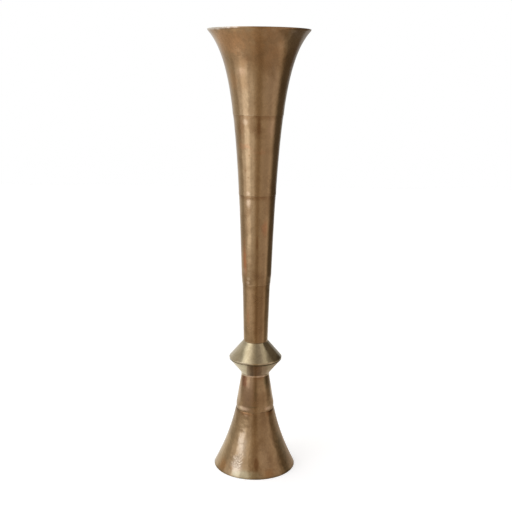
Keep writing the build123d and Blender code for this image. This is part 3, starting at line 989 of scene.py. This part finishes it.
collar_finish = brass_finish(
    "foot_collar_brass", GOLDEN, UMBER, COPPER, foot_seam_z, foot_top_z,
    patches=[
        ((-0.0150, -0.0260, 0.1500), (0.026, 0.022, 0.055), COLLAR_ROSE, 0.9),
        ((-0.0205, -0.0165, 0.1690), (0.010, 0.014, 0.016), COLLAR_RED, 0.85, 0.9, 0.5),
        # Painted reflection at the collar's left edge, then painted highlights on the band, left and right.
        ((-0.0285, -0.0110, 0.1480), (0.007, 0.012, 0.036), BAND_PAINTED_HIGHLIGHT, 0.5),
        ((-0.0220, -0.0260, 0.1190), (0.018, 0.014, 0.005), BAND_PAINTED_HIGHLIGHT, 0.9),
        ((0.0250, -0.0240, 0.1190), (0.010, 0.012, 0.005), BAND_PAINTED_HIGHLIGHT, 0.8),
        # Painted shade: a thin dark line at the band's top, where a groove would be shaded.
        ((-0.0030, -0.0345, 0.1240), (0.014, 0.010, 0.0014), DARK_OLIVE, 0.6),
        ((0.0010, -0.0300, 0.1500), (0.0035, 0.010, 0.030), DARK_OLIVE, 0.35),
        ((0.0193, -0.0196, 0.1690), (0.006, 0.009, 0.016), DARK_OLIVE, 0.7),
    ],
)
finish_piece(collar, "foot_collar_section", collar_finish)

# %% Outline of the flared base
FOOT_RADIUS = 0.0762
FOOT_SAG = 0.0042
FOOT_NECK_HEIGHT = 0.003


def flare_radius(z):
    """Radius of the base at a height: a straight line from neck to rim, sagging inwards between them."""
    share = z / (foot_seam_z - FOOT_NECK_HEIGHT)
    straight = FOOT_RADIUS + (tail_radius + BRAZE_GAP + WALL - FOOT_RADIUS) * share
    return straight - 4 * FOOT_SAG * share * (1 - share)


def flare_bore(z):
    """Radius inside the base's sheet at a height."""
    slope = (flare_radius(z + RING_SPACING) - flare_radius(z)) / RING_SPACING
    return flare_radius(z) - WALL * math.hypot(1, slope)


print("base radius half way up in mm:", round(1000 * flare_radius(foot_seam_z / 2), 1))

# %% Flared base
FOOT_BEND = 0.0014
FOOT_WAVES = 1.2
FLANGE_WIDTH = 0.010
NECK_FEATHER = 0.0003
# Pale worn brass that is also a painted highlight, laid where the soft box's reflection falls on the foot.
FOOT_WORN_AND_HIGHLIGHT = (0.56, 0.470, 0.360)
FOOT_ORANGE = (0.40, 0.230, 0.105)
FOOT_BROWN = (0.230, 0.146, 0.076)
FOOT_BROWN_REACH = 0.050
FOOT_RUBBED = (0.44, 0.405, 0.275)
FOOT_WARM = (0.46, 0.335, 0.205)

neck_bore = tail_radius + BRAZE_GAP
neck_foot_z = foot_seam_z - FOOT_NECK_HEIGHT
flange_bore = FOOT_RADIUS - FLANGE_WIDTH
flare = draw_out(
    "foot_base",
    [(flare_radius(z), z) for z in heights(0, neck_foot_z)]
    + [(neck_bore + NECK_FEATHER, foot_seam_z), (neck_bore, foot_seam_z), (neck_bore, neck_foot_z)]
    + [(flare_bore(z), z) for z in reversed(heights(WALL, neck_foot_z - RING_SPACING))]
    + [(flange_bore, WALL), (flange_bore, 0)],
)
bend_ring(flare, FOOT_RADIUS, 0, FOOT_BEND)
flare_finish = brass_finish(
    "foot_base_brass", GOLDEN, UMBER, COPPER, -RUB_AND_SHEEN_REACH, foot_seam_z, gloss=0.15, wavy=FOOT_WAVES,
    scorch=FOOT_BROWN, scorch_reach=FOOT_BROWN_REACH,
    patches=[
        # Worn brass and painted highlight, where the soft box's reflection falls.
        ((-0.0240, -0.0470, 0.0520), (0.011, 0.018, 0.046), FOOT_WORN_AND_HIGHLIGHT, 0.65),
        ((-0.0325, -0.0593, 0.0200), (0.014, 0.020, 0.024), FOOT_WORN_AND_HIGHLIGHT, 1.0),
        # Painted highlight: a bright spot just below the seam.
        ((-0.0165, -0.0340, 0.1080), (0.005, 0.010, 0.0025), BAND_PAINTED_HIGHLIGHT, 1.0),
        ((-0.0163, -0.0330, 0.1110), (0.018, 0.016, 0.006), SCORCH_AND_SHADE, 0.9),
        ((0.0280, -0.0235, 0.1110), (0.010, 0.014, 0.008), SCORCH_AND_SHADE, 1.0),
        # Painted shade: the foot's right edge darkened, dimming the paper's reflection there.
        ((0.0520, -0.0220, 0.0480), (0.016, 0.020, 0.060), DARK_OLIVE, 0.45),
        ((0.0260, -0.0670, 0.0080), (0.016, 0.014, 0.011), FOOT_ORANGE, 0.6),
        ((0.0140, -0.0610, 0.0350), (0.018, 0.018, 0.036), FOOT_WARM, 0.75),
        ((0.0313, -0.0302, 0.0850), (0.010, 0.014, 0.045), FOOT_BROWN, 0.6),
        ((-0.0090, -0.0440, 0.0850), (0.007, 0.014, 0.028), FOOT_BROWN, 0.5),
        ((0.0140, -0.0425, 0.0880), (0.014, 0.014, 0.026), FOOT_BROWN, 0.35),
        ((-0.0600, -0.0385, 0.0120), (0.016, 0.016, 0.018), FOOT_ORANGE, 0.9),
        ((-0.0180, -0.0690, 0.0060), (0.042, 0.020, 0.011), FOOT_RUBBED, 0.7),
        ((0.0038, -0.0640, 0.0250), (0.0066, 0.030, 0.017), SCORCH_AND_SHADE, 0.75, 0.5, 0.5),
        # Painted shade: a dark ring round the foot's bottom edge, for the shadowed floor that it faces.
        ((0, 0, -0.0010), (0.600, 0.600, 0.0055), DARK_OLIVE, 0.6),
    ],
    pitted=((-0.0300, -0.0550, 0.0270), (0.015, 0.015, 0.018)),
)
finish_piece(flare, "foot_flare", flare_finish)

# %% [markdown]
# ## What holds it together
# None of this shows from the side. A pressed cup closes the bottom of the neck, so that the vase can hold
# water, and a tapped boss is brazed under it. A threaded rod runs from the boss, through the knop, to a
# bridge inside the foot, where a nut on two washers pulls everything tight. A spanner reaches the nut from
# below.
# The cup and the bridge are sheet, so they are drawn out like the shells, and then the ring at their bend is
# bevelled to the radius that a press leaves.

# %% Well floor
WELL_BEND = 0.0020
DULL = (0.30, 0.215, 0.120)
DULL_BROWN = (0.20, 0.135, 0.070)

well_rim_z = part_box("well_floor")[1].z
well_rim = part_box("well_floor")[1].x
well_foot = horn_bore(knop_top_z) - LOWER_INSET - BRAZE_GAP
well = draw_out(
    "well_cup",
    [
        (well_foot - 2 * WELL_BEND, knop_top_z),
        (well_foot, knop_top_z),
        (well_rim, well_rim_z),
        (well_rim - WALL, well_rim_z),
        (well_foot - WALL, knop_top_z + WALL),
        (well_foot - 2 * WELL_BEND, knop_top_z + WALL),
    ],
    closed=False,
)
bend_ring(well, well_foot, knop_top_z, WELL_BEND)
well_finish = brass_finish(
    "well_brass", DULL, DULL_BROWN, TAN, knop_top_z, well_rim_z + DIRT_REACH, dull=1.0
)
finish_piece(well, "well_floor", well_finish)

# %% Boss
BOSS_CHAMFER = 0.0010
BOSS_CROWN = 0.0030
THREAD_ROOM = 0.0001
COUNTERSINK = 0.0004

rod_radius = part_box("tie_rod")[1].x
boss_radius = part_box("stud_boss")[1].x
boss_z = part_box("stud_boss")[0].z
thread_bore = rod_radius + THREAD_ROOM
boss = draw_out(
    "boss",
    [
        (thread_bore, knop_top_z - BOSS_CROWN),
        (thread_bore, boss_z + COUNTERSINK),
        (thread_bore + COUNTERSINK, boss_z),
        (boss_radius - BOSS_CHAMFER, boss_z),
        (boss_radius, boss_z + BOSS_CHAMFER),
        (boss_radius, knop_top_z),
    ],
    closed=False,
)
boss_finish = brass_finish("boss_brass", DULL, DULL_BROWN, TAN, boss_z - DIRT_REACH, knop_top_z, dull=0.6)
finish_piece(boss, "stud_boss", boss_finish, edge=SOFT_EDGE / 2)

# %% Bridge
BRIDGE_THICKNESS = 0.002
BRIDGE_BEND = 0.0025
BRIDGE_HOLE_ROOM = 0.0005

bridge_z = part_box("foot_bridge")[1].z
bridge_skirt_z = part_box("foot_bridge")[0].z
bridge_seat_z = bridge_z - BRIDGE_THICKNESS
bridge_run = collar_run * BRIDGE_THICKNESS / WALL
bridge_bore = rod_radius + BRIDGE_HOLE_ROOM


def inside_collar(z):
    """Radius of the room inside the collar at a height."""
    share = (z - band_top[1]) / (collar_top[1] - band_top[1])
    return band_top[0] + (collar_top[0] - band_top[0]) * share - collar_run - BRAZE_GAP


bridge = draw_out(
    "bridge",
    [
        (bridge_bore, bridge_z),
        (inside_collar(bridge_z), bridge_z),
        (inside_collar(bridge_skirt_z), bridge_skirt_z),
        (inside_collar(bridge_skirt_z) - bridge_run, bridge_skirt_z),
        (inside_collar(bridge_seat_z) - bridge_run, bridge_seat_z),
        (bridge_bore, bridge_seat_z),
    ],
)
bend_ring(bridge, inside_collar(bridge_z), bridge_z, BRIDGE_BEND)
bridge_finish = brass_finish("bridge_brass", DULL, DULL_BROWN, TAN, bridge_skirt_z, bridge_z, dull=1.0)
finish_piece(bridge, "foot_bridge", bridge_finish)

# %% [markdown]
# ## Plated steel
# Rod, nut and washers are bought parts, zinc plated. New zinc is bluish and bright, and with age it turns to
# a dull grey with pale blotches. One grey would look like plastic, so the grey is broken up by a soft cloud
# and by fine spots, which change the polish as well as the colour.

# %% The zinc finish
ZINC = (0.60, 0.60, 0.58, 1)
ZINC_DULL = (0.40, 0.40, 0.38, 1)
ZINC_BLOOM = (0.72, 0.71, 0.66, 1)
ZINC_CLOUD_SCALE = 260
ZINC_CLOUD_EDGE = (0.38, 0.64)
ZINC_SPOT_SCALE = 900
ZINC_SPOT_EDGE = (0.52, 0.66)
ZINC_SPOT_STRENGTH = 0.5
ZINC_SPOT_RELIEF = 0.02
ZINC_ROUGHNESS = 0.28
ZINC_CLOUD_ROUGHNESS = 0.16
ZINC_SPOT_ROUGHNESS = 0.1

zinc = bpy.data.materials.new("zinc_plate")
zinc.use_nodes = True
tree = zinc.node_tree
plate = tree.nodes["Principled BSDF"]
place = add_node(tree, "TexCoord").outputs["Object"]
zinc_clouds = fade(tree, noise(tree, place, ZINC_CLOUD_SCALE, detail=4), *ZINC_CLOUD_EDGE)
zinc_spots = fade(tree, noise(tree, place, ZINC_SPOT_SCALE), *ZINC_SPOT_EDGE)
colour = blend_colours(tree, zinc_clouds, ZINC, ZINC_DULL)
colour = blend_colours(tree, calc(tree, "MULTIPLY", zinc_spots, ZINC_SPOT_STRENGTH), colour, ZINC_BLOOM)
rough = calc(tree, "MULTIPLY_ADD", zinc_clouds, ZINC_CLOUD_ROUGHNESS, ZINC_ROUGHNESS)
rough = calc(tree, "MULTIPLY_ADD", zinc_spots, ZINC_SPOT_ROUGHNESS, rough)
relief = calc(tree, "MULTIPLY", zinc_spots, ZINC_SPOT_RELIEF)
bump = add_node(tree, "Bump", {"Height": relief, "Distance": MILLIMETRE}).outputs[0]
tree.links.new(colour, plate.inputs["Base Color"])
tree.links.new(rough, plate.inputs["Roughness"])
tree.links.new(bump, plate.inputs["Normal"])
plate.inputs["Metallic"].default_value = 1.0
print("zinc plate has", len(tree.nodes), "nodes")

# %% [markdown]
# ## Washers, nut and rod
# The flat washer is one more ring. The lock washer is a square wire, spun almost all the way round, which
# leaves its split. The nut starts as a six-sided prism, and a turned barrel cuts its corners and its bore,
# as a lathe does. The rod's thread is one notch of its outline, drawn out point by point and wound up by the
# Screw modifier: bump alone would leave the rod's end and its silhouette smooth.

# %% Flat washer
WASHER_HOLE_ROOM = 0.0004
FINE_EDGE = 0.0002

washer_bore = rod_radius + WASHER_HOLE_ROOM
washer_low, washer_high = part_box("flat_washer")
washer = draw_out(
    "washer",
    [
        (washer_bore, washer_low.z),
        (washer_high.x, washer_low.z),
        (washer_high.x, washer_high.z),
        (washer_bore, washer_high.z),
    ],
)
finish_piece(washer, "flat_washer", zinc, FINE_EDGE)

# %% Lock washer
LOCK_SPLIT = 0.002
SPIN_STEPS = 90

lock_low, lock_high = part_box("lock_washer")
lock_radius = -lock_low.x
wire_width = lock_radius - washer_bore
wire_height = lock_high.z - lock_low.z
half_split = math.asin(LOCK_SPLIT / 2 / washer_bore)
bpy.ops.object.select_all(action="DESELECT")
bpy.ops.mesh.primitive_plane_add(
    size=1,
    location=(washer_bore + wire_width / 2, 0, (lock_low.z + lock_high.z) / 2),
    rotation=(math.pi / 2, 0, 0),
)
lock = bpy.context.object
lock.name = "lock_ring"
lock.scale = (wire_width, wire_height, 1)
bpy.ops.object.transform_apply(location=True, rotation=True, scale=True)
bpy.ops.object.mode_set(mode="EDIT")
bpy.ops.mesh.select_all(action="SELECT")
bpy.ops.transform.rotate(value=half_split, orient_axis="Z", center_override=(0, 0, 0))
bpy.ops.mesh.spin(
    steps=SPIN_STEPS, angle=math.tau - 2 * half_split, center=(0, 0, 0), axis=(0, 0, 1), use_auto_merge=False
)
bpy.ops.mesh.select_all(action="SELECT")
bpy.ops.mesh.remove_doubles(threshold=NEAR)
bpy.ops.mesh.normals_make_consistent(inside=False)
bpy.ops.object.mode_set(mode="OBJECT")
finish_piece(lock, "lock_washer", zinc, FINE_EDGE)

# %% Turning down
def turn_down(piece, barrel):
    """Keep only the part of a piece that lies inside a turned barrel."""
    bpy.ops.object.select_all(action="DESELECT")
    bpy.context.view_layer.objects.active = piece
    piece.select_set(True)
    cut = piece.modifiers.new("turned", "BOOLEAN")
    cut.operation = "INTERSECT"
    cut.solver = "EXACT"
    cut.object = barrel
    bpy.ops.object.modifier_apply(modifier=cut.name)
    bpy.data.objects.remove(barrel)


# %% Nut
NUT_CORNER_ANGLE = math.radians(30)
NUT_FACE_SHARE = 0.95
NUT_BARREL_SHARE = 1.02

nut_low, nut_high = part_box("tie_nut")
nut_face = nut_high.y * NUT_FACE_SHARE
nut_reach = nut_high.x * NUT_BARREL_SHARE
nut_drop = (nut_reach - nut_face) * math.tan(NUT_CORNER_ANGLE)
bpy.ops.object.select_all(action="DESELECT")
bpy.ops.mesh.primitive_cylinder_add(
    vertices=6,
    radius=nut_high.x,
    depth=nut_high.z - nut_low.z + 2 * COUNTERSINK,
    location=(0, 0, (nut_low.z + nut_high.z) / 2),
    rotation=(0, 0, math.pi / 2),
)
nut = bpy.context.object
nut.name = "nut"
bpy.ops.object.transform_apply(location=True, rotation=True, scale=True)
barrel = draw_out(
    "nut_barrel",
    [
        (thread_bore, nut_low.z + COUNTERSINK),
        (thread_bore + COUNTERSINK, nut_low.z),
        (nut_face, nut_low.z),
        (nut_reach, nut_low.z + nut_drop),
        (nut_reach, nut_high.z - nut_drop),
        (nut_face, nut_high.z),
        (thread_bore + COUNTERSINK, nut_high.z),
        (thread_bore, nut_high.z - COUNTERSINK),
    ],
)
turn_down(nut, barrel)
finish_piece(nut, "tie_nut", zinc, edge=None)

# %% Threaded rod
PITCH = 0.00125
METRIC_DEPTH_SHARE = 0.6134
THREAD_DEPTH = METRIC_DEPTH_SHARE * PITCH
CREST_FLAT = PITCH / 8
FLANK_ANGLE = math.radians(30)
FLANK = THREAD_DEPTH * math.tan(FLANK_ANGLE)
ROOT_FLAT = PITCH - CREST_FLAT - 2 * FLANK
NOTCH = [(THREAD_DEPTH, 0, FLANK), (0, 0, CREST_FLAT), (-THREAD_DEPTH, 0, FLANK), (0, 0, ROOT_FLAT)]
THREAD_STEPS = 36
SPARE_TURNS = 2
ROD_CHAMFER = 0.0008

rod_low, rod_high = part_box("tie_rod")
root_radius = rod_radius - THREAD_DEPTH
bpy.ops.object.select_all(action="DESELECT")
bpy.ops.mesh.primitive_plane_add(size=PITCH, location=(0, 0, 0))
rod = bpy.context.object
rod.name = "rod"
bpy.ops.object.mode_set(mode="EDIT")
bpy.ops.mesh.select_mode(type="VERT")
bpy.ops.mesh.select_all(action="SELECT")
bpy.ops.mesh.merge(type="CENTER")
bpy.ops.transform.translate(value=(root_radius, 0, rod_low.z - SPARE_TURNS * PITCH))
for step in NOTCH:
    bpy.ops.mesh.extrude_vertices_move(TRANSFORM_OT_translate={"value": step})
bpy.ops.object.mode_set(mode="OBJECT")
thread = rod.modifiers.new("thread", "SCREW")
thread.axis = "Z"
thread.screw_offset = PITCH
thread.iterations = math.ceil((rod_high.z - rod_low.z) / PITCH) + 2 * SPARE_TURNS
thread.steps = THREAD_STEPS
thread.render_steps = THREAD_STEPS
bpy.ops.object.modifier_apply(modifier=thread.name)
bpy.ops.object.mode_set(mode="EDIT")
bpy.ops.mesh.select_all(action="SELECT")
bpy.ops.mesh.remove_doubles(threshold=NEAR)
bpy.ops.mesh.fill_holes(sides=0)
bpy.ops.mesh.select_all(action="SELECT")
bpy.ops.mesh.normals_make_consistent(inside=False)
bpy.ops.object.mode_set(mode="OBJECT")
chamfered_bar = draw_out(
    "chamfered_bar",
    [
        (rod_radius - ROD_CHAMFER, rod_low.z),
        (rod_radius + THREAD_ROOM, rod_low.z + ROD_CHAMFER + THREAD_ROOM),
        (rod_radius + THREAD_ROOM, rod_high.z - ROD_CHAMFER - THREAD_ROOM),
        (rod_radius - ROD_CHAMFER, rod_high.z),
    ],
    closed=False,
)
turn_down(rod, chamfered_bar)
finish_piece(rod, "tie_rod", zinc, edge=None)
